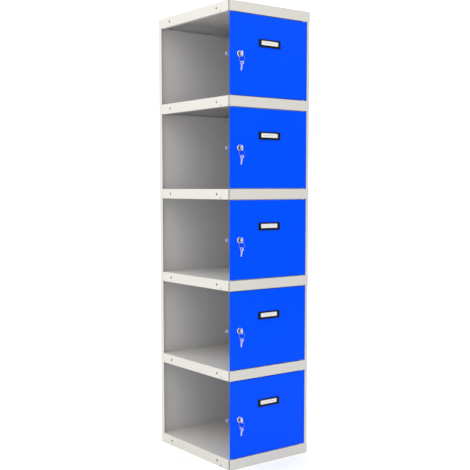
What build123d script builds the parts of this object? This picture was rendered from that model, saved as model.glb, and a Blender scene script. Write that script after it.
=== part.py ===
"""Add-on bay of a five-tier sheet steel locker: folded trays, one side panel, a back panel and five
key-locked doors.  The left side is open, because it is bolted to the side panel of the next bay.

Millimetres.  +Z is up, the doors face -Y and the side panel is on the +X side.  The origin is on the
floor, under the middle of the bay's box, which the inserted keys make a little deeper than the sheet work.
"""
import os
from math import cos, radians, sin

from build123d import *

os.makedirs("parts", exist_ok=True)

# ---- cabinet --------------------------------------------------------------------------------------
WIDTH = 400.0
DEPTH = 500.0
HEIGHT = 1800.0
TIERS = 5
SHEET = 1.0              # steel sheet
BEND = 1.2               # outside radius of a fold
TRAY_RISE = 40.0         # height of the folded edge round a tray
TRAY_LIP = 15.0          # width of the lip folded in under that edge
CORNER_SLIT = 6.0        # open corner between the front and left edges of a tray
CORNER_RELIEF_R = 4.0    # round relief at the lower end of that slit
CORNER_RELIEF_RISE = 6.0
RETURN_WIDTH = 13.0      # front return of the side panel, seen beside the doors
RETURN_DEPTH = 16.0      # how far that return folds back
BACK_FLANGE = 22.0       # side flanges of the back panel
SHEET_CLEAR = 0.4        # gap where one sheet passes through a notch in another
BACK_SLANT = 6.0         # slanted cut at the lower rear corner of a tray's left edge

# ---- holes and bolts ------------------------------------------------------------------------------
JOIN_INSET = 85.0        # joining holes, from the front and from the back
JOIN_HOLE_R = 4.5
DRAIN_INSET = 58.0       # small hole low in the left edge, from the front
DRAIN_RISE = 6.0
DRAIN_HOLE_R = 3.0
BOLT_R = 2.95
BOLT_LENGTH = 9.0
BOLT_HEAD_R = 5.5
BOLT_HEAD_RISE = 2.2
BOLT_HEAD_TAPER = 30     # degrees
BOLT_HOLE_R = 3.3
NUT_BORE_R = 3.05
NUT_R = 5.5
NUT_DEPTH = 4.0
BACK_BOLT_INSET = 50.0   # back panel bolts, from each side

# ---- doors ----------------------------------------------------------------------------------------
DOOR_GAP_SIDE = 2.0      # between a door and the side panel's return
DOOR_GAP_LEFT = 1.0
DOOR_GAP_Z = 3.0         # between a door and the trays above and below it
DOOR_RETURN = 18.0       # depth of the folded edge of a door
DOOR_HEM = 15.0          # flat double edge on the left, which closes over the next bay's panel
DOOR_CORNER_SLIT = 1.0

# ---- hinge pins and bushes ------------------------------------------------------------------------
PIVOT_INSET = 14.0       # from the right edge of the door
PIVOT_DEPTH = 7.0        # behind the front face
PIN_R = 2.5
PIN_HEAD_LIP = 2.0       # pin head beyond the shank
PIN_HEAD = 2.0
PIN_CHAMFER = 0.5
PIN_FIT = 0.05           # running fit in the bush
BUSH_WALL = 1.5
BUSH_COLLAR_LIP = 1.5    # collar beyond the sleeve
BUSH_COLLAR = 1.5
BUSH_SLEEVE = 4.0        # sleeve beyond the sheet
SEAT_FIT = 0.1           # a fixed piece in its hole

# ---- cam locks ------------------------------------------------------------------------------------
LOCK_INSET = 47.0        # lock axis from the left side of the bay
BARREL_R = 9.5
BARREL_LENGTH = 18.0     # behind the front face of the door
BEZEL_LIP = 2.0          # bezel beyond the barrel
BEZEL_RISE = 3.0
BEZEL_ROUND = 1.2
LOCK_NUT_WALL = 4.0      # corners of the nut beyond the barrel
LOCK_NUT_DEPTH = 4.0
PLUG_R = 6.5
PLUG_FIT = 0.05
PLUG_HEAD_LIP = 1.5      # plug head beyond the plug
PLUG_HEAD = 1.5
PLUG_RECESS = 0.5        # plug face below the bezel face
PLUG_TAIL = 0.6          # plug shoulder behind the barrel
TENON = 8.0              # square end that carries the cam
CAM_THICK = 2.0
CAM_WIDTH = 15.0
CAM_TIP_WIDTH = 11.0
CAM_ROUND = 2.0
CAM_OVERHANG = 4.0       # how far the cam reaches past the left side of the bay
CAM_SCREW_R = 2.0
CAM_SCREW_HEAD_R = 4.8
CAM_SCREW_HEAD = 2.4
CAM_SCREW_LENGTH = 4.4
CAM_SCREW_END_CLEAR = 0.2

# ---- keys and key rings ---------------------------------------------------------------------------
KEY_THICK = 2.0
KEY_BLADE = 8.0
KEY_BLADE_LENGTH = 17.0
KEY_NECK = 7.5           # between the bow and the shoulder
KEY_NECK_WIDTH = 9.0
KEY_BOW_LENGTH = 12.0    # oval bow, along the key
KEY_BOW_WIDTH = 22.0
KEY_BOW_MERGE = 1.0      # how far the neck runs into the bow
KEY_SLOT_LENGTH = 15.0   # slot across the bow
KEY_SLOT_WIDTH = 4.5
KEY_STANDOFF = 0.3       # shoulder in front of the plug
KEYWAY_CLEAR = 0.3
KEYWAY_END_CLEAR = 1.0
BIT_COUNT = 4
BIT_DEPTH = 2.0
BIT_PITCH = 3.4
RING_R = 13.0            # centre line of the ring
RING_WIRE_R = 0.75
RING_CLEAR = 0.3         # ring to the web of the key it hangs in
SPARE_CLEAR = 0.1        # spare key to the ring it hangs on
SPARE_TILT = 10.0        # the spare key's tip leans towards the door, degrees

# ---- label holders --------------------------------------------------------------------------------
LABEL_WIDTH = 106.0
LABEL_HEIGHT = 30.0
LABEL_DEPTH = 3.5
LABEL_CORNER = 3.0
LABEL_CHAMFER = 0.7
LABEL_DROP = 103.0       # centre below the top of the door
WINDOW_WIDTH = 84.0
WINDOW_HEIGHT = 17.0
WINDOW_RAISE = 1.5       # window centre above the holder's centre
CARD_OVERLAP = 2.0       # card beyond the window on each side
CARD_THICK = 0.5
CARD_CLEAR = 0.2
POST_R = 1.8
POST_LENGTH = 6.0

# ---- what follows from these sizes ----------------------------------------------------------------
NECK_END = KEY_BOW_LENGTH / 2 - KEY_BOW_MERGE + KEY_NECK              # shoulder, from the bow's centre
BOW_CENTRE = BEZEL_RISE - PLUG_RECESS + KEY_STANDOFF + NECK_END       # before the door face
KEY_REACH = BOW_CENTRE + KEY_BOW_LENGTH / 2

LEFT = -WIDTH / 2
RIGHT = WIDTH / 2
FRONT = -(DEPTH - KEY_REACH) / 2
BACK = FRONT + DEPTH
BACK_INSIDE = BACK - SHEET
RIGHT_INSIDE = RIGHT - SHEET
TIER_PITCH = (HEIGHT - TRAY_RISE) / TIERS

DOOR_LEFT = LEFT + DOOR_GAP_LEFT
DOOR_RIGHT = RIGHT - RETURN_WIDTH - DOOR_GAP_SIDE
DOOR_CENTRE = (DOOR_LEFT + DOOR_RIGHT) / 2
DOOR_HEIGHT = TIER_PITCH - TRAY_RISE - 2 * DOOR_GAP_Z
PAN_LEFT = DOOR_LEFT + DOOR_HEM

PIVOT_X = DOOR_RIGHT - PIVOT_INSET
PIVOT_Y = FRONT + PIVOT_DEPTH
PIN_HEAD_R = PIN_R + PIN_HEAD_LIP
BUSH_BORE_R = PIN_R + PIN_FIT
BUSH_R = BUSH_BORE_R + BUSH_WALL
BUSH_COLLAR_R = BUSH_R + BUSH_COLLAR_LIP

LOCK_X = LEFT + LOCK_INSET
BEZEL_R = BARREL_R + BEZEL_LIP
LOCK_NUT_R = BARREL_R + LOCK_NUT_WALL
PLUG_HEAD_R = PLUG_R + PLUG_HEAD_LIP
PLUG_FACE = FRONT - BEZEL_RISE + PLUG_RECESS
PLUG_END = FRONT + BARREL_LENGTH + PLUG_TAIL
BOW_Y = FRONT - BOW_CENTRE
WEB_CENTRE = (KEY_SLOT_LENGTH + KEY_BOW_WIDTH) / 4    # of the bow below its slot, from the lock axis
WEB_HEIGHT = (KEY_BOW_WIDTH - KEY_SLOT_LENGTH) / 2
WEB_HALF_DIAGONAL = (WEB_HEIGHT ** 2 + KEY_THICK ** 2) ** 0.5 / 2
RING_DROP = WEB_CENTRE + RING_R - WEB_HALF_DIAGONAL - RING_CLEAR - RING_WIRE_R
SPARE_HANG = KEY_SLOT_WIDTH / 2 - SPARE_CLEAR         # spare key's bow centre below the ring's wire
RING_INSIDE = RING_R - RING_WIRE_R

POST_SPREAD = (LABEL_WIDTH + WINDOW_WIDTH) / 4 + CARD_OVERLAP / 2     # holder's posts, from its middle
CARD_WIDTH = WINDOW_WIDTH + 2 * CARD_OVERLAP
CARD_HEIGHT = WINDOW_HEIGHT + 2 * CARD_OVERLAP


def tray_top(level):
    """Height of the upper face of a tray; level 0 is the base."""
    return TRAY_RISE + level * TIER_PITCH


def block(x_span, y_span, z_span, mode=Mode.ADD):
    """A box between two limits on each axis, added to or cut from the part being built."""
    with Locations((x_span[0], y_span[0], z_span[0])):
        Box(
            x_span[1] - x_span[0],
            y_span[1] - y_span[0],
            z_span[1] - z_span[0],
            align=(Align.MIN, Align.MIN, Align.MIN),
            mode=mode,
        )


def rod(origin, direction, radius, length, mode=Mode.ADD):
    """A cylinder that starts at origin and runs along direction."""
    with BuildSketch(Plane(origin=origin, z_dir=direction)) as disc:
        Circle(radius)
    extrude(disc.sketch, amount=length, mode=mode)


def finish(part, name):
    """Label a piece and write it."""
    part.label = name
    export_step(part, f"parts/{name}.step")


# ---- bolt positions: (x, y, outward direction) on one tray -----------------------------------------
SIDE_BOLTS = [(RIGHT, y, (1, 0, 0)) for y in (FRONT + JOIN_INSET, BACK - JOIN_INSET)]
REAR_BOLTS = [(x, BACK, (0, 1, 0)) for x in (LEFT + BACK_BOLT_INSET, RIGHT - BACK_BOLT_INSET)]


def inward(direction):
    """The opposite direction."""
    return tuple(-value for value in direction)


# ---- trays: roof, four shelves and base ------------------------------------------------------------
def make_tray(name, level):
    """One folded tray: a flat top with an edge down on four sides and a lip folded in under each."""
    top = tray_top(level)
    bottom = top - TRAY_RISE
    middle = bottom + TRAY_RISE / 2
    x_inside = (LEFT + SHEET, RIGHT_INSIDE - SHEET)
    y_inside = (FRONT + SHEET, BACK_INSIDE - SHEET)
    with BuildPart() as tray:
        block((LEFT, RIGHT), (FRONT, BACK_INSIDE), (bottom, top))
        folds = tray.edges().filter_by(Axis.X) + tray.edges().filter_by(Axis.Y).group_by(Axis.X)[0]
        fillet(folds, BEND)
        block(x_inside, y_inside, (bottom + SHEET, top - SHEET), Mode.SUBTRACT)
        block(
            (x_inside[0] + TRAY_LIP, x_inside[1] - TRAY_LIP),
            (y_inside[0] + TRAY_LIP, y_inside[1] - TRAY_LIP),
            (bottom, bottom + SHEET),
            Mode.SUBTRACT,
        )
        # the side panel stands outside the right edge, and behind the front edge
        block((RIGHT_INSIDE, RIGHT), (FRONT + SHEET, BACK), (bottom, top), Mode.SUBTRACT)
        # notch round the side panel's front return, which stops under the top of the roof
        block(
            (RIGHT - RETURN_WIDTH - SHEET_CLEAR, RIGHT_INSIDE),
            (FRONT + SHEET, FRONT + SHEET + RETURN_DEPTH + SHEET_CLEAR),
            (bottom, top - SHEET if level == TIERS else top),
            Mode.SUBTRACT,
        )
        # open front left corner with its round relief, and the free corner of the lips behind it
        slit_span = (FRONT + SHEET, FRONT + SHEET + CORNER_SLIT)
        relief = (LEFT, sum(slit_span) / 2, bottom + CORNER_RELIEF_RISE)
        block((LEFT, LEFT + SHEET), slit_span, (bottom + CORNER_RELIEF_RISE, top - BEND), Mode.SUBTRACT)
        rod(relief, (1, 0, 0), CORNER_RELIEF_R, SHEET, Mode.SUBTRACT)
        block(
            (LEFT, LEFT + SHEET + TRAY_LIP + SHEET_CLEAR),
            (FRONT + SHEET, FRONT + SHEET + TRAY_LIP + SHEET_CLEAR),
            (bottom, bottom + SHEET),
            Mode.SUBTRACT,
        )
        # rear corners give way to the side flanges of the back panel
        flange_front = BACK - BACK_FLANGE - SHEET_CLEAR
        block((RIGHT_INSIDE - SHEET - SHEET_CLEAR, RIGHT), (flange_front, BACK), (bottom, top),
              Mode.SUBTRACT)
        if level > 0:
            block((LEFT, LEFT + SHEET + SHEET_CLEAR), (flange_front, BACK), (bottom, top), Mode.SUBTRACT)
            with BuildSketch(Plane.YZ.offset(LEFT)) as slant:
                with BuildLine():
                    Polyline(
                        (flange_front - BACK_SLANT, bottom),
                        (flange_front, bottom),
                        (flange_front, bottom + BACK_SLANT),
                        close=True,
                    )
                make_face()
            extrude(slant.sketch, amount=SHEET, mode=Mode.SUBTRACT)
        # joining holes and the small low hole in the left edge
        for y in (FRONT + JOIN_INSET, BACK - JOIN_INSET):
            rod((LEFT, y, middle), (1, 0, 0), JOIN_HOLE_R, SHEET, Mode.SUBTRACT)
        rod((LEFT, FRONT + DRAIN_INSET, bottom + DRAIN_RISE), (1, 0, 0), DRAIN_HOLE_R, SHEET, Mode.SUBTRACT)
        # weld nuts behind the right and rear edges
        for x, y, outward in SIDE_BOLTS + REAR_BOLTS:
            face = Plane(origin=(x, y, middle), z_dir=inward(outward)).offset(SHEET)
            start = tuple(face.origin)
            rod(tuple(face.offset(SHEET).origin), inward(outward), NUT_R, NUT_DEPTH)
            rod(start, inward(outward), NUT_BORE_R, SHEET + NUT_DEPTH, Mode.SUBTRACT)
        # seats of the hinge bushes: in the top for the door above, in the front lip for the one below
        if level < TIERS:
            rod((PIVOT_X, PIVOT_Y, top - SHEET), (0, 0, 1), BUSH_R + SEAT_FIT, SHEET, Mode.SUBTRACT)
        if level > 0:
            rod((PIVOT_X, PIVOT_Y, bottom), (0, 0, 1), BUSH_R + SEAT_FIT, SHEET, Mode.SUBTRACT)
    finish(tray.part, name)


TRAY_NAMES = ["base", "shelf_1", "shelf_2", "shelf_3", "shelf_4", "roof"]
for tray_level, tray_name in enumerate(TRAY_NAMES):
    make_tray(tray_name, tray_level)
TRAY_MIDDLES = [tray_top(level) - TRAY_RISE / 2 for level in range(TIERS + 1)]

# ---- side panel, with the front return folded twice -------------------------------------------------
with BuildPart() as side_panel:
    with BuildSketch(Plane.XY) as profile:
        with BuildLine():
            Polyline(
                (RIGHT, BACK),
                (RIGHT, FRONT + SHEET),
                (RIGHT - RETURN_WIDTH, FRONT + SHEET),
                (RIGHT - RETURN_WIDTH, FRONT + SHEET + RETURN_DEPTH),
                (RIGHT - RETURN_WIDTH + SHEET, FRONT + SHEET + RETURN_DEPTH),
                (RIGHT - RETURN_WIDTH + SHEET, FRONT + 2 * SHEET),
                (RIGHT_INSIDE, FRONT + 2 * SHEET),
                (RIGHT_INSIDE, BACK),
                close=True,
            )
        make_face()
        folds = profile.vertices().group_by(Axis.Y)[0]
        fillet(folds, BEND)
    extrude(amount=HEIGHT)
    block(
        (RIGHT - RETURN_WIDTH, RIGHT_INSIDE),
        (FRONT + SHEET, FRONT + SHEET + RETURN_DEPTH),
        (HEIGHT - SHEET - SHEET_CLEAR, HEIGHT),
        Mode.SUBTRACT,
    )
    for height in TRAY_MIDDLES:
        for x, y, outward in SIDE_BOLTS:
            rod((x, y, height), inward(outward), BOLT_HOLE_R, SHEET, Mode.SUBTRACT)
finish(side_panel.part, "side_panel")

# ---- back panel, with a side flange on the left above the base and one inside the side panel --------
with BuildPart() as back_panel:
    block((LEFT, RIGHT_INSIDE), (BACK_INSIDE, BACK), (0, HEIGHT))
    block((LEFT, LEFT + SHEET), (BACK - BACK_FLANGE, BACK), (TRAY_RISE + SHEET_CLEAR, HEIGHT))
    block((RIGHT_INSIDE - SHEET, RIGHT_INSIDE), (BACK - BACK_FLANGE, BACK), (0, HEIGHT))
    outer_folds = back_panel.edges().filter_by(Axis.Z).group_by(Axis.Y)[-1]
    fillet(outer_folds, BEND)
    for height in TRAY_MIDDLES:
        for x, y, outward in REAR_BOLTS:
            rod((x, y, height), inward(outward), BOLT_HOLE_R, SHEET, Mode.SUBTRACT)
finish(back_panel.part, "back_panel")

# ---- bolts that hold the panels to the trays --------------------------------------------------------
with BuildPart() as assembly_bolts:
    for height in TRAY_MIDDLES:
        for x, y, outward in SIDE_BOLTS + REAR_BOLTS:
            face = Plane(origin=(x, y, height), z_dir=outward)
            with BuildSketch(face) as head:
                Circle(BOLT_HEAD_R)
            extrude(head.sketch, amount=BOLT_HEAD_RISE, taper=BOLT_HEAD_TAPER)
            rod((x, y, height), inward(outward), BOLT_R, BOLT_LENGTH)
finish(assembly_bolts.part, "assembly_bolts")

# ---- nylon hinge bushes, one under and one over each door -------------------------------------------
with BuildPart() as hinge_bushes:
    for tier in range(TIERS):
        lower_face = tray_top(tier)
        upper_face = tray_top(tier + 1) - TRAY_RISE
        for height, into_sheet in ((lower_face, -1), (upper_face, 1)):
            seat = (PIVOT_X, PIVOT_Y, height)
            rod(seat, (0, 0, -into_sheet), BUSH_COLLAR_R, BUSH_COLLAR)
            rod(seat, (0, 0, into_sheet), BUSH_R, SHEET + BUSH_SLEEVE)
            collar_face = (PIVOT_X, PIVOT_Y, height - into_sheet * BUSH_COLLAR)
            rod(collar_face, (0, 0, into_sheet), BUSH_BORE_R, BUSH_COLLAR + SHEET + BUSH_SLEEVE,
                Mode.SUBTRACT)
finish(hinge_bushes.part, "hinge_bushes")


# ---- doors and what is fixed to them ----------------------------------------------------------------
def make_door(name, bottom):
    """A door pan with returns folded back on four sides; on the left the skin runs past it as a hem."""
    top = bottom + DOOR_HEIGHT
    lock_z = bottom + DOOR_HEIGHT / 2
    label_z = top - LABEL_DROP
    rear = FRONT + DOOR_RETURN
    with BuildPart() as door:
        block((PAN_LEFT, DOOR_RIGHT), (FRONT, rear), (bottom, top))
        block((DOOR_LEFT, PAN_LEFT), (FRONT, FRONT + 2 * SHEET), (bottom, top))
        front_edges = door.faces().sort_by(Axis.Y)[0].edges()
        fillet(front_edges, BEND)
        block(
            (PAN_LEFT + SHEET, DOOR_RIGHT - SHEET),
            (FRONT + SHEET, rear),
            (bottom + SHEET, top - SHEET),
            Mode.SUBTRACT,
        )
        # open corners of the returns
        for x in (PAN_LEFT + SHEET, DOOR_RIGHT - SHEET - DOOR_CORNER_SLIT):
            for z in (bottom, top - SHEET):
                block((x, x + DOOR_CORNER_SLIT), (FRONT + BEND + SHEET, rear), (z, z + SHEET), Mode.SUBTRACT)
        # lock hole
        rod((LOCK_X, FRONT, lock_z), (0, 1, 0), BARREL_R + SEAT_FIT, SHEET, Mode.SUBTRACT)
        # holes for the label holder's posts
        for x in (DOOR_CENTRE - POST_SPREAD, DOOR_CENTRE + POST_SPREAD):
            rod((x, FRONT, label_z), (0, 1, 0), POST_R + SEAT_FIT, SHEET, Mode.SUBTRACT)
        # pivot holes in the top and bottom returns
        rod((PIVOT_X, PIVOT_Y, bottom), (0, 0, 1), PIN_R + SEAT_FIT, SHEET, Mode.SUBTRACT)
        rod((PIVOT_X, PIVOT_Y, top - SHEET), (0, 0, 1), PIN_R + SEAT_FIT, SHEET, Mode.SUBTRACT)
    finish(door.part, name)


def make_hinge_pins(name, bottom):
    """The two headed pins that a door turns on."""
    shank = SHEET + DOOR_GAP_Z + SHEET + BUSH_SLEEVE - PIN_HEAD
    with BuildPart() as pins:
        for height, outward in ((bottom + SHEET, -1), (bottom + DOOR_HEIGHT - SHEET, 1)):
            seat = (PIVOT_X, PIVOT_Y, height)
            rod(seat, (0, 0, -outward), PIN_HEAD_R, PIN_HEAD)
            rod(seat, (0, 0, outward), PIN_R, shank)
        rims = pins.edges().filter_by(GeomType.CIRCLE).filter_by(lambda edge: edge.radius > PIN_R)
        chamfer(rims, PIN_CHAMFER)
    finish(pins.part, name)


def make_label_holder(name, z):
    """A moulded frame with a window, a pocket for the card and two posts through the door."""
    face = Plane(origin=(DOOR_CENTRE, FRONT, z), x_dir=(1, 0, 0), z_dir=(0, -1, 0))
    with BuildPart() as holder:
        with BuildSketch(face) as outline:
            RectangleRounded(LABEL_WIDTH, LABEL_HEIGHT, LABEL_CORNER)
        extrude(outline.sketch, amount=LABEL_DEPTH)
        chamfer(holder.faces().sort_by(Axis.Y)[0].edges(), LABEL_CHAMFER)
        with BuildSketch(face) as window:
            with Locations((0, WINDOW_RAISE)):
                Rectangle(WINDOW_WIDTH, WINDOW_HEIGHT)
        extrude(window.sketch, amount=LABEL_DEPTH, mode=Mode.SUBTRACT)
        with BuildSketch(face) as pocket:
            with Locations((0, WINDOW_RAISE)):
                Rectangle(CARD_WIDTH + 2 * CARD_CLEAR, CARD_HEIGHT + 2 * CARD_CLEAR)
        extrude(pocket.sketch, amount=CARD_THICK + CARD_CLEAR, mode=Mode.SUBTRACT)
        for side in (-1, 1):
            rod((DOOR_CENTRE + side * POST_SPREAD, FRONT, z), (0, 1, 0), POST_R, POST_LENGTH)
    finish(holder.part, name)


def make_label_card(name, z):
    """The blank card behind the window."""
    face = Plane(origin=(DOOR_CENTRE, FRONT, z), x_dir=(1, 0, 0), z_dir=(0, -1, 0))
    with BuildPart() as card:
        with BuildSketch(face) as outline:
            with Locations((0, WINDOW_RAISE)):
                Rectangle(CARD_WIDTH, CARD_HEIGHT)
        extrude(outline.sketch, amount=CARD_THICK)
    finish(card.part, name)


def make_lock_body(name, z):
    """The fixed half of a cam lock: bezel, barrel and, as its own solid, the nut behind the door skin."""
    with BuildPart() as body:
        rod((LOCK_X, FRONT, z), (0, -1, 0), BEZEL_R, BEZEL_RISE)
        fillet(body.faces().sort_by(Axis.Y)[0].edges(), BEZEL_ROUND)
        rod((LOCK_X, FRONT, z), (0, 1, 0), BARREL_R, BARREL_LENGTH)
        rod((LOCK_X, FRONT - BEZEL_RISE, z), (0, 1, 0), PLUG_R + PLUG_FIT, BEZEL_RISE + BARREL_LENGTH,
            Mode.SUBTRACT)
        rod((LOCK_X, FRONT - BEZEL_RISE, z), (0, 1, 0), PLUG_HEAD_R + PLUG_FIT,
            PLUG_RECESS + PLUG_HEAD + SEAT_FIT, Mode.SUBTRACT)
        nut_face = Plane(origin=(LOCK_X, FRONT + SHEET, z), x_dir=(1, 0, 0), z_dir=(0, 1, 0))
        with BuildSketch(nut_face) as nut:
            RegularPolygon(LOCK_NUT_R, 6)
            Circle(BARREL_R + SEAT_FIT, mode=Mode.SUBTRACT)
        extrude(nut.sketch, amount=LOCK_NUT_DEPTH)
    finish(body.part, name)


def make_lock_plug(name, z):
    """The turning plug: a face with the keyway, a round body and a square tenon for the cam."""
    keyway_half = (KEY_THICK / 2 + KEYWAY_CLEAR, KEY_BLADE / 2 + KEYWAY_CLEAR)
    tenon_half = TENON / 2
    tenon_end = PLUG_END + CAM_THICK
    with BuildPart() as plug:
        rod((LOCK_X, PLUG_FACE, z), (0, 1, 0), PLUG_HEAD_R, PLUG_HEAD)
        rod((LOCK_X, PLUG_FACE, z), (0, 1, 0), PLUG_R, PLUG_END - PLUG_FACE)
        block(
            (LOCK_X - tenon_half, LOCK_X + tenon_half),
            (PLUG_END, tenon_end),
            (z - tenon_half, z + tenon_half),
        )
        block(
            (LOCK_X - keyway_half[0], LOCK_X + keyway_half[0]),
            (PLUG_FACE, PLUG_FACE + KEY_BLADE_LENGTH + KEYWAY_END_CLEAR),
            (z - keyway_half[1], z + keyway_half[1]),
            Mode.SUBTRACT,
        )
        screw_hole = CAM_SCREW_LENGTH + CAM_SCREW_END_CLEAR
        rod((LOCK_X, tenon_end, z), (0, -1, 0), CAM_SCREW_R + SEAT_FIT, screw_hole, Mode.SUBTRACT)
    finish(plug.part, name)


def make_lock_cam(name, z):
    """The cam blade, pointing to the left, and the screw that holds it on the plug."""
    tip = LOCK_X - LEFT + CAM_OVERHANG
    face = Plane(origin=(LOCK_X, PLUG_END, z), x_dir=(-1, 0, 0), z_dir=(0, 1, 0))
    with BuildPart() as cam:
        with BuildSketch(face) as blade:
            with BuildLine():
                Polyline(
                    (0, -CAM_WIDTH / 2),
                    (tip - CAM_WIDTH, -CAM_WIDTH / 2),
                    (tip, -CAM_TIP_WIDTH / 2),
                    (tip, CAM_TIP_WIDTH / 2),
                    (tip - CAM_WIDTH, CAM_WIDTH / 2),
                    (0, CAM_WIDTH / 2),
                    close=True,
                )
            make_face()
            fillet(blade.vertices().group_by(Axis.X)[0], CAM_ROUND)
            Circle(CAM_WIDTH / 2)
            Rectangle(TENON + 2 * SEAT_FIT, TENON + 2 * SEAT_FIT, mode=Mode.SUBTRACT)
        extrude(blade.sketch, amount=CAM_THICK)
        screw_seat = (LOCK_X, PLUG_END + CAM_THICK + SEAT_FIT, z)
        rod(screw_seat, (0, 1, 0), CAM_SCREW_HEAD_R, CAM_SCREW_HEAD)
        rod(screw_seat, (0, -1, 0), CAM_SCREW_R, CAM_SCREW_LENGTH)
    finish(cam.part, name)


def key_shape(bow_centre, tip_direction):
    """A flat key in a plane that holds the Y and Z axes: oval bow with a slot, neck and cut blade."""
    face = Plane(origin=bow_centre, x_dir=tip_direction, z_dir=(1, 0, 0))
    blade_end = NECK_END + KEY_STANDOFF + KEY_BLADE_LENGTH
    with BuildSketch(face) as outline:
        Ellipse(KEY_BOW_LENGTH / 2, KEY_BOW_WIDTH / 2)
        with Locations((NECK_END / 2, 0)):
            Rectangle(NECK_END, KEY_NECK_WIDTH)
        with Locations((blade_end / 2, 0)):
            Rectangle(blade_end, KEY_BLADE)
        tip_corners = outline.vertices().group_by(Axis.X)[-1]
        chamfer(tip_corners, BIT_DEPTH)
        SlotOverall(KEY_SLOT_LENGTH, KEY_SLOT_WIDTH, rotation=90, mode=Mode.SUBTRACT)
        for cut in range(BIT_COUNT):
            with Locations((blade_end - (cut + 1) * BIT_PITCH, KEY_BLADE / 2)):
                RegularPolygon(BIT_DEPTH, 4, rotation=45, mode=Mode.SUBTRACT)
    extrude(outline.sketch, amount=KEY_THICK / 2, both=True)


def make_key(name, z):
    """The key in the lock."""
    with BuildPart() as key:
        key_shape((LOCK_X, BOW_Y, z), (0, 1, 0))
    finish(key.part, name)


def make_key_ring(name, z):
    """A wire ring through the bow of the key, hanging square to it."""
    ring_centre = (LOCK_X, BOW_Y, z - RING_DROP)
    with BuildPart() as ring:
        with Locations(Plane(origin=ring_centre, z_dir=(0, 1, 0))):
            Torus(RING_R, RING_WIRE_R)
    finish(ring.part, name)


def make_spare_key(name, z):
    """The second key, hanging on the ring by its bow with its tip leaning towards the door."""
    lean = radians(SPARE_TILT)
    wire_z = z - RING_DROP - RING_INSIDE
    centre = (LOCK_X, BOW_Y + SPARE_HANG * sin(lean), wire_z - SPARE_HANG * cos(lean))
    with BuildPart() as spare:
        key_shape(centre, (0, sin(lean), -cos(lean)))
    finish(spare.part, name)


for tier in range(TIERS):
    number = tier + 1
    door_bottom = tray_top(tier) + DOOR_GAP_Z
    lock_height = door_bottom + DOOR_HEIGHT / 2
    label_height = door_bottom + DOOR_HEIGHT - LABEL_DROP
    make_door(f"door_{number}", door_bottom)
    make_hinge_pins(f"hinge_pins_{number}", door_bottom)
    make_label_holder(f"label_holder_{number}", label_height)
    make_label_card(f"label_card_{number}", label_height)
    make_lock_body(f"lock_body_{number}", lock_height)
    make_lock_plug(f"lock_plug_{number}", lock_height)
    make_lock_cam(f"lock_cam_{number}", lock_height)
    make_key(f"key_{number}", lock_height)
    make_key_ring(f"key_ring_{number}", lock_height)
    make_spare_key(f"spare_key_{number}", lock_height)
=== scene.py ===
from math import cos, pi, radians

import bmesh
import bpy
from mathutils import Matrix, Vector


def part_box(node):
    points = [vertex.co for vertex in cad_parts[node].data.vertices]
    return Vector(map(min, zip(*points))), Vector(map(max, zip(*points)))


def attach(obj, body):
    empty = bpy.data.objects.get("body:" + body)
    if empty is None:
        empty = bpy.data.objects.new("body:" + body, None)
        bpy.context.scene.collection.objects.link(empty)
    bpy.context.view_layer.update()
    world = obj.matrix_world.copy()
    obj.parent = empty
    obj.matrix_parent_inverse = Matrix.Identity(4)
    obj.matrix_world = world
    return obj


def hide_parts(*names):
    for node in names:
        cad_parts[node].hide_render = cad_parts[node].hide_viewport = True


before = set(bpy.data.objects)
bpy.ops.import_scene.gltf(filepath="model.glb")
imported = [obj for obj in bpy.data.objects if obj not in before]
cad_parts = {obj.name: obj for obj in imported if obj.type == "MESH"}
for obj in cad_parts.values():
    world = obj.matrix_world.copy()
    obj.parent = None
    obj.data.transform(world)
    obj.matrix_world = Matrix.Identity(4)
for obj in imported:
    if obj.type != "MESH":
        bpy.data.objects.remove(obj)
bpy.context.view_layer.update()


# ---- Trays, side panel and back panel --------------------------------------------------------------
# The carcass is folded from 1 mm mild steel and powder coated in a light warm grey before it is
# bolted together. The stoved powder leaves a satin skin with a faint orange peel.
MM = 0.001


def linear(hex_code):
    """An sRGB hex colour as the linear RGBA that shaders take."""
    parts = [int(hex_code[i:i + 2], 16) / 255 for i in (1, 3, 5)]
    return [c / 12.92 if c <= 0.04045 else ((c + 0.055) / 1.055) ** 2.4 for c in parts] + [1.0]


def add_node(tree, kind, values=None, links=None, **settings):
    """Adds a shader node with its settings, socket values and incoming links."""
    node = tree.nodes.new(kind)
    for name, value in settings.items():
        setattr(node, name, value)
    for socket, value in (values or {}).items():
        node.inputs[socket].default_value = value
    for socket, source in (links or {}).items():
        tree.links.new(source, node.inputs[socket])
    return node


def powder_coat(name, paint, worn_paint, roughness, specular):
    """Stoved powder: a flat colour with a slow drift in tone, satin gloss and a fine orange peel."""
    peel_size = 2.0 * MM
    peel_depth = 0.03 * MM
    drift_size = 180 * MM
    material = bpy.data.materials.new(name)
    material.use_nodes = True
    tree = material.node_tree
    tree.nodes.clear()
    place = add_node(tree, "ShaderNodeTexCoord").outputs["Object"]
    drift = add_node(tree, "ShaderNodeTexNoise", {"Scale": 1 / drift_size, "Detail": 2.0},
                     {"Vector": place})
    tone = add_node(tree, "ShaderNodeMix", {"A": linear(paint), "B": linear(worn_paint)},
                    {"Factor": drift.outputs["Fac"]}, data_type="RGBA")
    peel = add_node(tree, "ShaderNodeTexNoise",
                    {"Scale": 1 / peel_size, "Detail": 1.0, "Roughness": 0.4}, {"Vector": place})
    bump = add_node(tree, "ShaderNodeBump", {"Strength": 0.12, "Distance": peel_depth},
                    {"Height": peel.outputs["Fac"]})
    surface = add_node(tree, "ShaderNodeBsdfPrincipled",
                       {"Roughness": roughness, "Specular IOR Level": specular, "IOR": 1.5},
                       {"Base Color": tone.outputs["Result"], "Normal": bump.outputs["Normal"]})
    add_node(tree, "ShaderNodeOutputMaterial", links={"Surface": surface.outputs["BSDF"]})
    return material


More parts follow.
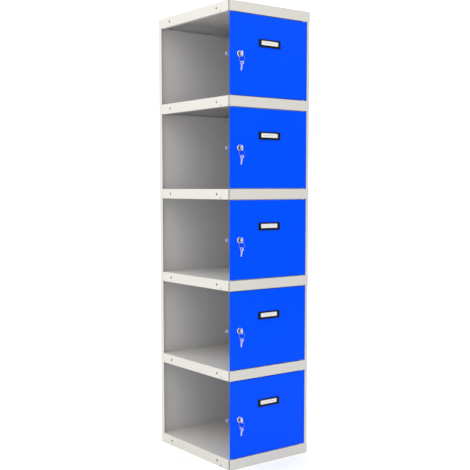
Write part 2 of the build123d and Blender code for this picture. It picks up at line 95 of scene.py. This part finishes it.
def coat(node, material):
    """Gives a CAD piece its finish."""
    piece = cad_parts[node]
    for slot in piece.material_slots:
        slot.material = material


grey_powder = powder_coat("grey_powder_coat", "#C8C6BF", "#C5C3BC", 0.42, 0.3)
for node in ("base", "shelf_1", "shelf_2", "shelf_3", "shelf_4", "roof", "side_panel", "back_panel"):
    coat(node, grey_powder)


# ---- Assembly bolts --------------------------------------------------------------------------------
# M6 button-head screws in bright zinc, with a 4 mm hexagon socket. They go through the side and back
# panels into weld nuts on the trays.
def lathe(mesh, profile, steps=32, closed=False):
    """Spins a list of (radius, height) points about Z; returns the new vertices."""
    points = [mesh.verts.new((radius * MM, 0, height * MM)) for radius, height in profile]
    edges = [mesh.edges.new(pair) for pair in zip(points, points[1:])]
    if closed:
        edges.append(mesh.edges.new((points[-1], points[0])))
    before = set(mesh.verts) - set(points)
    bmesh.ops.spin(mesh, geom=points + edges, axis=(0, 0, 1), cent=(0, 0, 0), dvec=(0, 0, 0),
                   angle=2 * pi, steps=steps, use_merge=True, use_duplicate=False)
    made = [v for v in mesh.verts if v not in before]
    pole_gap = 0.002 * MM
    bmesh.ops.remove_doubles(mesh, verts=made, dist=pole_gap)
    return [v for v in mesh.verts if v not in before]


def six_sided(verts, across_flats):
    """Pulls the vertices of a turned surface onto a hexagonal prism about Z."""
    for v in verts:
        angle = Vector((v.co.x, v.co.y)).angle_signed(Vector((1, 0))) % (pi / 3) - pi / 6
        scale = across_flats / 2 * MM / cos(angle) / Vector((v.co.x, v.co.y)).length
        v.co.x *= scale
        v.co.y *= scale


def new_piece(name, mesh, material, body, nodes=(), smooth_below=35):
    """Turns a finished bmesh into a piece that rides on a body and stands for CAD nodes."""
    bmesh.ops.recalc_face_normals(mesh, faces=mesh.faces)
    for face in mesh.faces:
        face.smooth = True
    for edge in mesh.edges:
        edge.smooth = len(edge.link_faces) == 2 and edge.calc_face_angle(0) < radians(smooth_below)
    data = bpy.data.meshes.new(name)
    mesh.to_mesh(data)
    mesh.free()
    data.materials.append(material)
    piece = bpy.data.objects.new(name, data)
    bpy.context.scene.collection.objects.link(piece)
    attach(piece, body)
    if nodes:
        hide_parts(*nodes)
    return piece


def plated_metal(name, colour, roughness, grain_size, grain_depth, metallic=1.0):
    """A plated metal with fine marks, its grain in mm; a dull plating is less metallic."""
    glossiest, dullest = 0.8 * roughness, 1.25 * roughness
    material = bpy.data.materials.new(name)
    material.use_nodes = True
    tree = material.node_tree
    tree.nodes.clear()
    place = add_node(tree, "ShaderNodeTexCoord").outputs["Object"]
    grain = add_node(tree, "ShaderNodeTexNoise", {"Scale": 1 / (grain_size * MM), "Detail": 3.0},
                     {"Vector": place})
    bump = add_node(tree, "ShaderNodeBump", {"Strength": 0.3, "Distance": grain_depth * MM},
                    {"Height": grain.outputs["Fac"]})
    gloss = add_node(tree, "ShaderNodeMapRange", {"To Min": glossiest, "To Max": dullest},
                     {"Value": grain.outputs["Fac"]})
    surface = add_node(tree, "ShaderNodeBsdfPrincipled",
                       {"Base Color": linear(colour), "Metallic": metallic},
                       {"Normal": bump.outputs["Normal"], "Roughness": gloss.outputs["Result"]})
    add_node(tree, "ShaderNodeOutputMaterial", links={"Surface": surface.outputs["BSDF"]})
    return material


bright_zinc = plated_metal("bright_zinc_plate", "#C3C6C9", 0.28, 1.2, 0.004)

BOLT_SOCKET = [(0, 0.8), (2.0, 0.8)]
BOLT_DOME = [(2.05, 2.15), (2.5, 2.2), (3.4, 2.0), (4.5, 1.4), (5.2, 0.6), (5.5, 0.1), (5.5, 0.0)]
BOLT_SHANK = 9.0
BOLT_CREST_R = 2.9
BOLT_ROOT_R = 2.55
BOLT_POINT_R = 2.3
BOLT_NECK = 1.6     # plain length under the head
BOLT_POINT = 0.8
BOLT_PITCH = 1.0
SOCKET_ACROSS = 4.0
SOCKET_WALL = (1.9, 2.1)     # radii that the socket's wall lies between


def bolt_profile():
    """Head with its socket, then a shank with a plain neck, V threads and a blunt point."""
    profile = BOLT_SOCKET + BOLT_DOME + [(BOLT_CREST_R, 0.0), (BOLT_CREST_R, -BOLT_NECK)]
    turns = int((BOLT_SHANK - BOLT_NECK - BOLT_POINT) / BOLT_PITCH)
    for turn in range(turns):
        start = -BOLT_NECK - turn * BOLT_PITCH
        profile += [(BOLT_ROOT_R, start - BOLT_PITCH / 2), (BOLT_CREST_R, start - BOLT_PITCH)]
    return profile + [(BOLT_POINT_R, -BOLT_SHANK), (0, -BOLT_SHANK)]


def add_bolt(mesh, place):
    """One bolt, its head's seat at the origin of place and its head along +Z."""
    verts = lathe(mesh, bolt_profile(), steps=24)
    inner, outer = SOCKET_WALL
    socket = [v for v in verts
              if inner * MM < Vector((v.co.x, v.co.y)).length < outer * MM and v.co.z > 0]
    six_sided(socket, SOCKET_ACROSS)
    bmesh.ops.transform(mesh, matrix=place, verts=verts)


side_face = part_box("side_panel")[1].x
rear_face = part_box("back_panel")[1].y
front_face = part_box("door_1")[0].y
left_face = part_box("base")[0].x
JOIN_INSET = 85
BACK_BOLT_INSET = 50
bolts = bmesh.new()
for node in ("base", "shelf_1", "shelf_2", "shelf_3", "shelf_4", "roof"):
    low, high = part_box(node)
    middle = (low.z + high.z) / 2
    for y in (front_face + JOIN_INSET * MM, rear_face - JOIN_INSET * MM):
        add_bolt(bolts, Matrix.Translation((side_face, y, middle)) @ Matrix.Rotation(pi / 2, 4, "Y"))
    for x in (left_face + BACK_BOLT_INSET * MM, side_face - BACK_BOLT_INSET * MM):
        add_bolt(bolts, Matrix.Translation((x, rear_face, middle)) @ Matrix.Rotation(-pi / 2, 4, "X"))
new_piece("assembly_screws", bolts, bright_zinc, "cabinet", ["assembly_bolts"])


# ---- Hinge bushes ----------------------------------------------------------------------------------
# Flanged bushes moulded in natural nylon, snapped into the trays above and below each door. The
# moulding is slightly waxy, with softened rims.
def softened_copy(node, name, width, material, body, segments=2, sharp_above=30):
    """A copy of a CAD piece with its edges broken by a small round, as real tooling leaves them."""
    mesh = bmesh.new()
    mesh.from_mesh(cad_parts[node].data)
    merge_gap = 0.003 * MM
    flat_within = radians(1.5)
    bmesh.ops.remove_doubles(mesh, verts=mesh.verts, dist=merge_gap)
    bmesh.ops.dissolve_limit(mesh, angle_limit=flat_within, verts=mesh.verts, edges=mesh.edges,
                             use_dissolve_boundaries=False)
    sharp = [e for e in mesh.edges
             if len(e.link_faces) == 2 and e.calc_face_angle(0) > radians(sharp_above)]
    bmesh.ops.bevel(mesh, geom=sharp, offset=width * MM, segments=segments, profile=0.5, affect="EDGES",
                    clamp_overlap=True, material=-1)
    return new_piece(name, mesh, material, body, [node])


def moulded_plastic(name, colour, roughness, grain_size, specular=0.5):
    """A moulded plastic with a fine spark-eroded grain, its size in mm."""
    grain_depth = 0.02 * MM
    material = bpy.data.materials.new(name)
    material.use_nodes = True
    tree = material.node_tree
    tree.nodes.clear()
    place = add_node(tree, "ShaderNodeTexCoord").outputs["Object"]
    grain = add_node(tree, "ShaderNodeTexNoise", {"Scale": 1 / (grain_size * MM), "Detail": 2.0},
                     {"Vector": place})
    bump = add_node(tree, "ShaderNodeBump", {"Strength": 0.25, "Distance": grain_depth},
                    {"Height": grain.outputs["Fac"]})
    surface = add_node(tree, "ShaderNodeBsdfPrincipled",
                       {"Base Color": linear(colour), "Roughness": roughness, "IOR": 1.46,
                        "Specular IOR Level": specular},
                       {"Normal": bump.outputs["Normal"]})
    add_node(tree, "ShaderNodeOutputMaterial", links={"Surface": surface.outputs["BSDF"]})
    return material


natural_nylon = moulded_plastic("natural_nylon", "#EFEDE4", 0.45, 0.8)
softened_copy("hinge_bushes", "nylon_bushes", 0.2, natural_nylon, "cabinet")


# ---- Doors -----------------------------------------------------------------------------------------
# Each door is a pan folded from one sheet, powder coated in a vivid blue. The skin is flat and even,
# a little glossier than the grey carcass.
TIERS = range(1, 6)
blue_powder = powder_coat("blue_powder_coat", "#004BF0", "#0049EC", 0.36, 0.04)
for tier in TIERS:
    coat(f"door_{tier}", blue_powder)


# ---- Hinge pins ------------------------------------------------------------------------------------
# Headed steel pins in bright zinc, pressed outward through the door's top and bottom returns.
for tier in TIERS:
    softened_copy(f"hinge_pins_{tier}", f"pivot_pins_{tier}", 0.15, bright_zinc, f"door_leaf_{tier}")


# ---- Label holders ---------------------------------------------------------------------------------
# Frames injection moulded in black polystyrene, with a fine matt grain, clipped through two holes in
# the door. The rims are rounded off by the mould.
black_polystyrene = moulded_plastic("black_polystyrene", "#060607", 0.42, 0.6, 0.2)
for tier in TIERS:
    softened_copy(f"label_holder_{tier}", f"label_frame_{tier}", 0.35, black_polystyrene,
                  f"door_leaf_{tier}", segments=3)


# ---- Label cards -----------------------------------------------------------------------------------
# Blank white card cut to slide behind the window, with one faint printed rule to write on.
def plain_card(name, colour):
    """Uncoated card: dead matt, with fibres just felt on its surface."""
    fibre_size = 0.7 * MM
    fibre_depth = 0.01 * MM
    material = bpy.data.materials.new(name)
    material.use_nodes = True
    tree = material.node_tree
    tree.nodes.clear()
    place = add_node(tree, "ShaderNodeTexCoord").outputs["Object"]
    fibre = add_node(tree, "ShaderNodeTexNoise", {"Scale": 1 / fibre_size, "Detail": 4.0},
                     {"Vector": place})
    bump = add_node(tree, "ShaderNodeBump", {"Strength": 0.2, "Distance": fibre_depth},
                    {"Height": fibre.outputs["Fac"]})
    surface = add_node(tree, "ShaderNodeBsdfPrincipled",
                       {"Base Color": linear(colour), "Roughness": 0.9, "Specular IOR Level": 0.2},
                       {"Normal": bump.outputs["Normal"]})
    add_node(tree, "ShaderNodeOutputMaterial", links={"Surface": surface.outputs["BSDF"]})
    return material


white_card = plain_card("white_index_card", "#E8E8E6")
printed_rule = plain_card("grey_printed_rule", "#8F7F8C")
RULE_LENGTH = 62
RULE_HEIGHT = 1.4
RULE_THICK = 0.05
for tier in TIERS:
    coat(f"label_card_{tier}", white_card)
    low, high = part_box(f"label_card_{tier}")
    centre = (low + high) / 2
    rule = bmesh.new()
    bmesh.ops.create_cube(rule, size=1.0)
    bmesh.ops.scale(rule, vec=Vector((RULE_LENGTH, RULE_THICK, RULE_HEIGHT)) * MM, verts=rule.verts)
    bmesh.ops.translate(rule, vec=(centre.x, low.y, centre.z), verts=rule.verts)
    new_piece(f"card_rule_{tier}", rule, printed_rule, f"door_leaf_{tier}")


# ---- Lock bodies -----------------------------------------------------------------------------------
# Die-cast zinc barrels in bright chrome, each with a rounded bezel in front of the door and an M19
# thread behind it, and a flat hexagon nut that pulls the bezel against the skin.
polished_chrome = plated_metal("polished_chrome", "#E4E6E8", 0.09, 2.5, 0.002)
BARREL_R = 9.5
BARREL_END = 18.0
BORE_R = 6.6
HEAD_SEAT_R = 8.05
HEAD_SEAT = 1.0      # how far the wide bore round the plug's head goes behind the door's face
BEZEL_DOME = [(8.35, 2.95), (9.3, 3.0), (10.2, 2.85), (10.95, 2.35), (11.4, 1.5), (11.5, 0.6), (11.5, 0.0)]
BEZEL_INSIDE_RISE = 2.55     # where the bezel's mouth starts to open
SKIN = 1.0       # the door's sheet, between the bezel and the nut
THREAD_END = 17.0
THREAD_PITCH = 1.0
THREAD_DEPTH = 0.45
END_TAPER = 0.5      # lead-in for the nut
NUT_BORE_R = 9.6
NUT_FACE_R = 11.3
NUT_CORNER_R = 13.5
NUT_CHAMFER = 0.4
NUT_THICK = 4.0


def barrel_profile():
    """Bezel, threaded barrel and the bore for the plug, as one closed outline."""
    profile = [(HEAD_SEAT_R, -HEAD_SEAT), (HEAD_SEAT_R, BEZEL_INSIDE_RISE)]
    profile += BEZEL_DOME + [(BARREL_R, 0.0), (BARREL_R, -SKIN)]
    for turn in range(int((THREAD_END - SKIN) / THREAD_PITCH)):
        start = SKIN + turn * THREAD_PITCH
        root = (BARREL_R - THREAD_DEPTH, -start - THREAD_PITCH / 2)
        profile += [root, (BARREL_R, -start - THREAD_PITCH)]
    return profile + [(BARREL_R - END_TAPER, -BARREL_END), (BORE_R, -BARREL_END), (BORE_R, -HEAD_SEAT)]


def nut_profile():
    """The hexagon nut behind the door's skin, turned to its corners before its flats are made."""
    back = -SKIN - NUT_THICK
    return [(NUT_BORE_R, -SKIN), (NUT_BORE_R, back), (NUT_FACE_R, back),
            (NUT_CORNER_R, back + NUT_CHAMFER), (NUT_CORNER_R, -SKIN - NUT_CHAMFER), (NUT_FACE_R, -SKIN)]


def facing_front(axis_node, y):
    """Places a turned piece so that its +Z points out of the door, on the axis of a lock piece."""
    low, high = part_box(axis_node)
    centre = (low + high) / 2
    return Matrix.Translation((centre.x, y, centre.z)) @ Matrix.Rotation(pi / 2, 4, "X")


for tier in TIERS:
    place = facing_front(f"lock_plug_{tier}", front_face)
    barrel = bmesh.new()
    lathe(barrel, barrel_profile(), steps=48, closed=True)
    nut = lathe(barrel, nut_profile(), steps=48, closed=True)
    flats_start = (NUT_FACE_R + NUT_CORNER_R) / 2 * MM
    flats = [v for v in nut if Vector((v.co.x, v.co.y)).length > flats_start]
    six_sided(flats, 2 * NUT_CORNER_R * cos(pi / 6))
    bmesh.ops.transform(barrel, matrix=place, verts=barrel.verts)
    new_piece(f"lock_barrel_{tier}", barrel, polished_chrome, f"door_leaf_{tier}",
              [f"lock_body_{tier}"])


# ---- Lock plugs ------------------------------------------------------------------------------------
# Turned brass plugs in black nickel, with the keyway broached through the face and a square tail. The
# plating makes a dark, faintly brown mirror round each key.
black_nickel = plated_metal("black_nickel_plate", "#2B2620", 0.25, 0.9, 0.004)
for tier in TIERS:
    softened_copy(f"lock_plug_{tier}", f"plug_{tier}", 0.12, black_nickel, f"lock_core_{tier}")


# ---- Lock cams -------------------------------------------------------------------------------------
# Flat cams stamped from 2 mm steel, each held on the plug's square by a pan screw. Barrel plating
# leaves their zinc a dull grey.
dull_zinc = plated_metal("dull_zinc_plate", "#B4B0AC", 0.55, 1.2, 0.006, metallic=0.5)
for tier in TIERS:
    softened_copy(f"lock_cam_{tier}", f"cam_{tier}", 0.2, dull_zinc, f"lock_core_{tier}")


# ---- Keys ------------------------------------------------------------------------------------------
# Flat keys blanked from 2 mm brass and nickel plated, with an oval slotted bow and a cut blade.
# Tumbling leaves the plating bright but soft.
nickel_brass = plated_metal("nickel_plated_brass", "#F2EFE8", 0.4, 0.8, 0.005, metallic=0.6)
for tier in TIERS:
    softened_copy(f"key_{tier}", f"lock_key_{tier}", 0.25, nickel_brass, f"key_in_lock_{tier}")
    softened_copy(f"spare_key_{tier}", f"second_key_{tier}", 0.25, nickel_brass, f"key_bunch_{tier}")


# ---- Key rings -------------------------------------------------------------------------------------
# Split rings of hard steel wire, wound two turns. Their thin nickel lets the grey of the steel show.
WIRE_HALF_WIDTH = 0.72
WIRE_HALF_THICK = 0.36
WIRE_SIDES = 10
RING_TURNS = 2
STEPS_A_TURN = 48
spring_steel = plated_metal("plated_spring_steel", "#8F8D8A", 0.3, 0.6, 0.004)
for tier in TIERS:
    low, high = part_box(f"key_ring_{tier}")
    centre = (low + high) / 2
    wire_line_r = (high.x - low.x) / 2 - WIRE_HALF_WIDTH * MM
    ring = bmesh.new()
    section = bmesh.ops.create_circle(ring, segments=WIRE_SIDES, radius=MM, cap_ends=True)["verts"]
    bmesh.ops.scale(ring, vec=(WIRE_HALF_WIDTH, WIRE_HALF_THICK, 1), verts=section)
    bmesh.ops.translate(ring, vec=(wire_line_r, -WIRE_HALF_THICK * MM, 0), verts=section)
    start = list(ring.verts) + list(ring.edges) + list(ring.faces)
    steps = STEPS_A_TURN * RING_TURNS
    rise = (0, 2 * WIRE_HALF_THICK * MM / steps, 0)
    bmesh.ops.spin(ring, geom=start, axis=(0, 1, 0), cent=(0, 0, 0), dvec=rise,
                   angle=2 * pi * RING_TURNS, steps=steps, use_merge=False, use_duplicate=False)
    bmesh.ops.translate(ring, vec=centre, verts=ring.verts)
    new_piece(f"split_ring_{tier}", ring, spring_steel, f"key_bunch_{tier}",
              [f"key_ring_{tier}"], smooth_below=50)


# ---- Studio ----------------------------------------------------------------------------------------
# A pale floor under an even white surround, with one large soft light above the open side and a black
# board at the right front. None of it belongs to the locker.
FLOOR_HALF = 12
FLOOR_DROP = 0.0005


def plain_finish(name, colour):
    """A dead matt stage finish."""
    material = bpy.data.materials.new(name)
    material.use_nodes = True
    surface = material.node_tree.nodes["Principled BSDF"]
    surface.inputs["Base Color"].default_value = linear(colour)
    surface.inputs["Roughness"].default_value = 1.0
    surface.inputs["Specular IOR Level"].default_value = 0.0
    return material


floor_mesh = bmesh.new()
bmesh.ops.create_grid(floor_mesh, x_segments=1, y_segments=1, size=FLOOR_HALF)
floor_data = bpy.data.meshes.new("studio_floor")
floor_mesh.to_mesh(floor_data)
floor_mesh.free()
floor_data.materials.append(plain_finish("pale_floor", "#FBFBFA"))
floor = bpy.data.objects.new("studio_floor", floor_data)
floor.location.z = -FLOOR_DROP
bpy.context.scene.collection.objects.link(floor)

world = bpy.data.worlds.new("white_surround")
world.use_nodes = True
world.node_tree.nodes["Background"].inputs["Color"].default_value = linear("#FFFFFF")
world.node_tree.nodes["Background"].inputs["Strength"].default_value = 1.35
bpy.context.scene.world = world


def soft_light(name, place, target, size, watts):
    """A square soft box aimed at a point."""
    lamp = bpy.data.lights.new(name, "AREA")
    lamp.shape = "SQUARE"
    lamp.size = size
    lamp.energy = watts
    box = bpy.data.objects.new(name, lamp)
    box.location = place
    box.rotation_euler = (Vector(target) - Vector(place)).to_track_quat("-Z", "Y").to_euler()
    bpy.context.scene.collection.objects.link(box)


soft_light("overhead_left_box", (-2.2, -1.2, 3.4), (0, 0, 0.9), 2.2, 25)


def black_flag(name, place, target, width, height, finish):
    """A matt black board beside the set, for the gloss and the chrome to mirror."""
    mesh = bmesh.new()
    bmesh.ops.create_grid(mesh, x_segments=1, y_segments=1, size=0.5)
    bmesh.ops.scale(mesh, vec=(width, height, 1), verts=mesh.verts)
    data = bpy.data.meshes.new(name)
    mesh.to_mesh(data)
    mesh.free()
    data.materials.append(finish)
    board = bpy.data.objects.new(name, data)
    board.location = place
    board.rotation_euler = (Vector(target) - Vector(place)).to_track_quat("-Z", "Y").to_euler()
    board.visible_camera = False
    bpy.context.scene.collection.objects.link(board)


flag_black = plain_finish("flag_black", "#0A0A0A")
black_flag("right_front_flag", (1.75, -2.5, 0.9), (0, front_face, 0.9), 1.9, 2.6, flag_black)

CAMERA_LEFT = 2.1436
CAMERA_IN_FRONT = 2.6325
CAMERA_HEIGHT = 1.1002
TURN = 36.80
TILT = -5.20
camera_data = bpy.data.cameras.new("studio_camera")
camera_data.lens = 65.85
camera_data.sensor_width = 36
camera_data.shift_y = 0.0663
camera_data.clip_end = 100
camera = bpy.data.objects.new("studio_camera", camera_data)
camera.location = (-CAMERA_LEFT, front_face - CAMERA_IN_FRONT, CAMERA_HEIGHT)
camera.rotation_euler = (radians(90 + TILT), 0, radians(-TURN))
bpy.context.scene.collection.objects.link(camera)
bpy.context.scene.camera = camera
bpy.context.scene.view_settings.view_transform = "Standard"
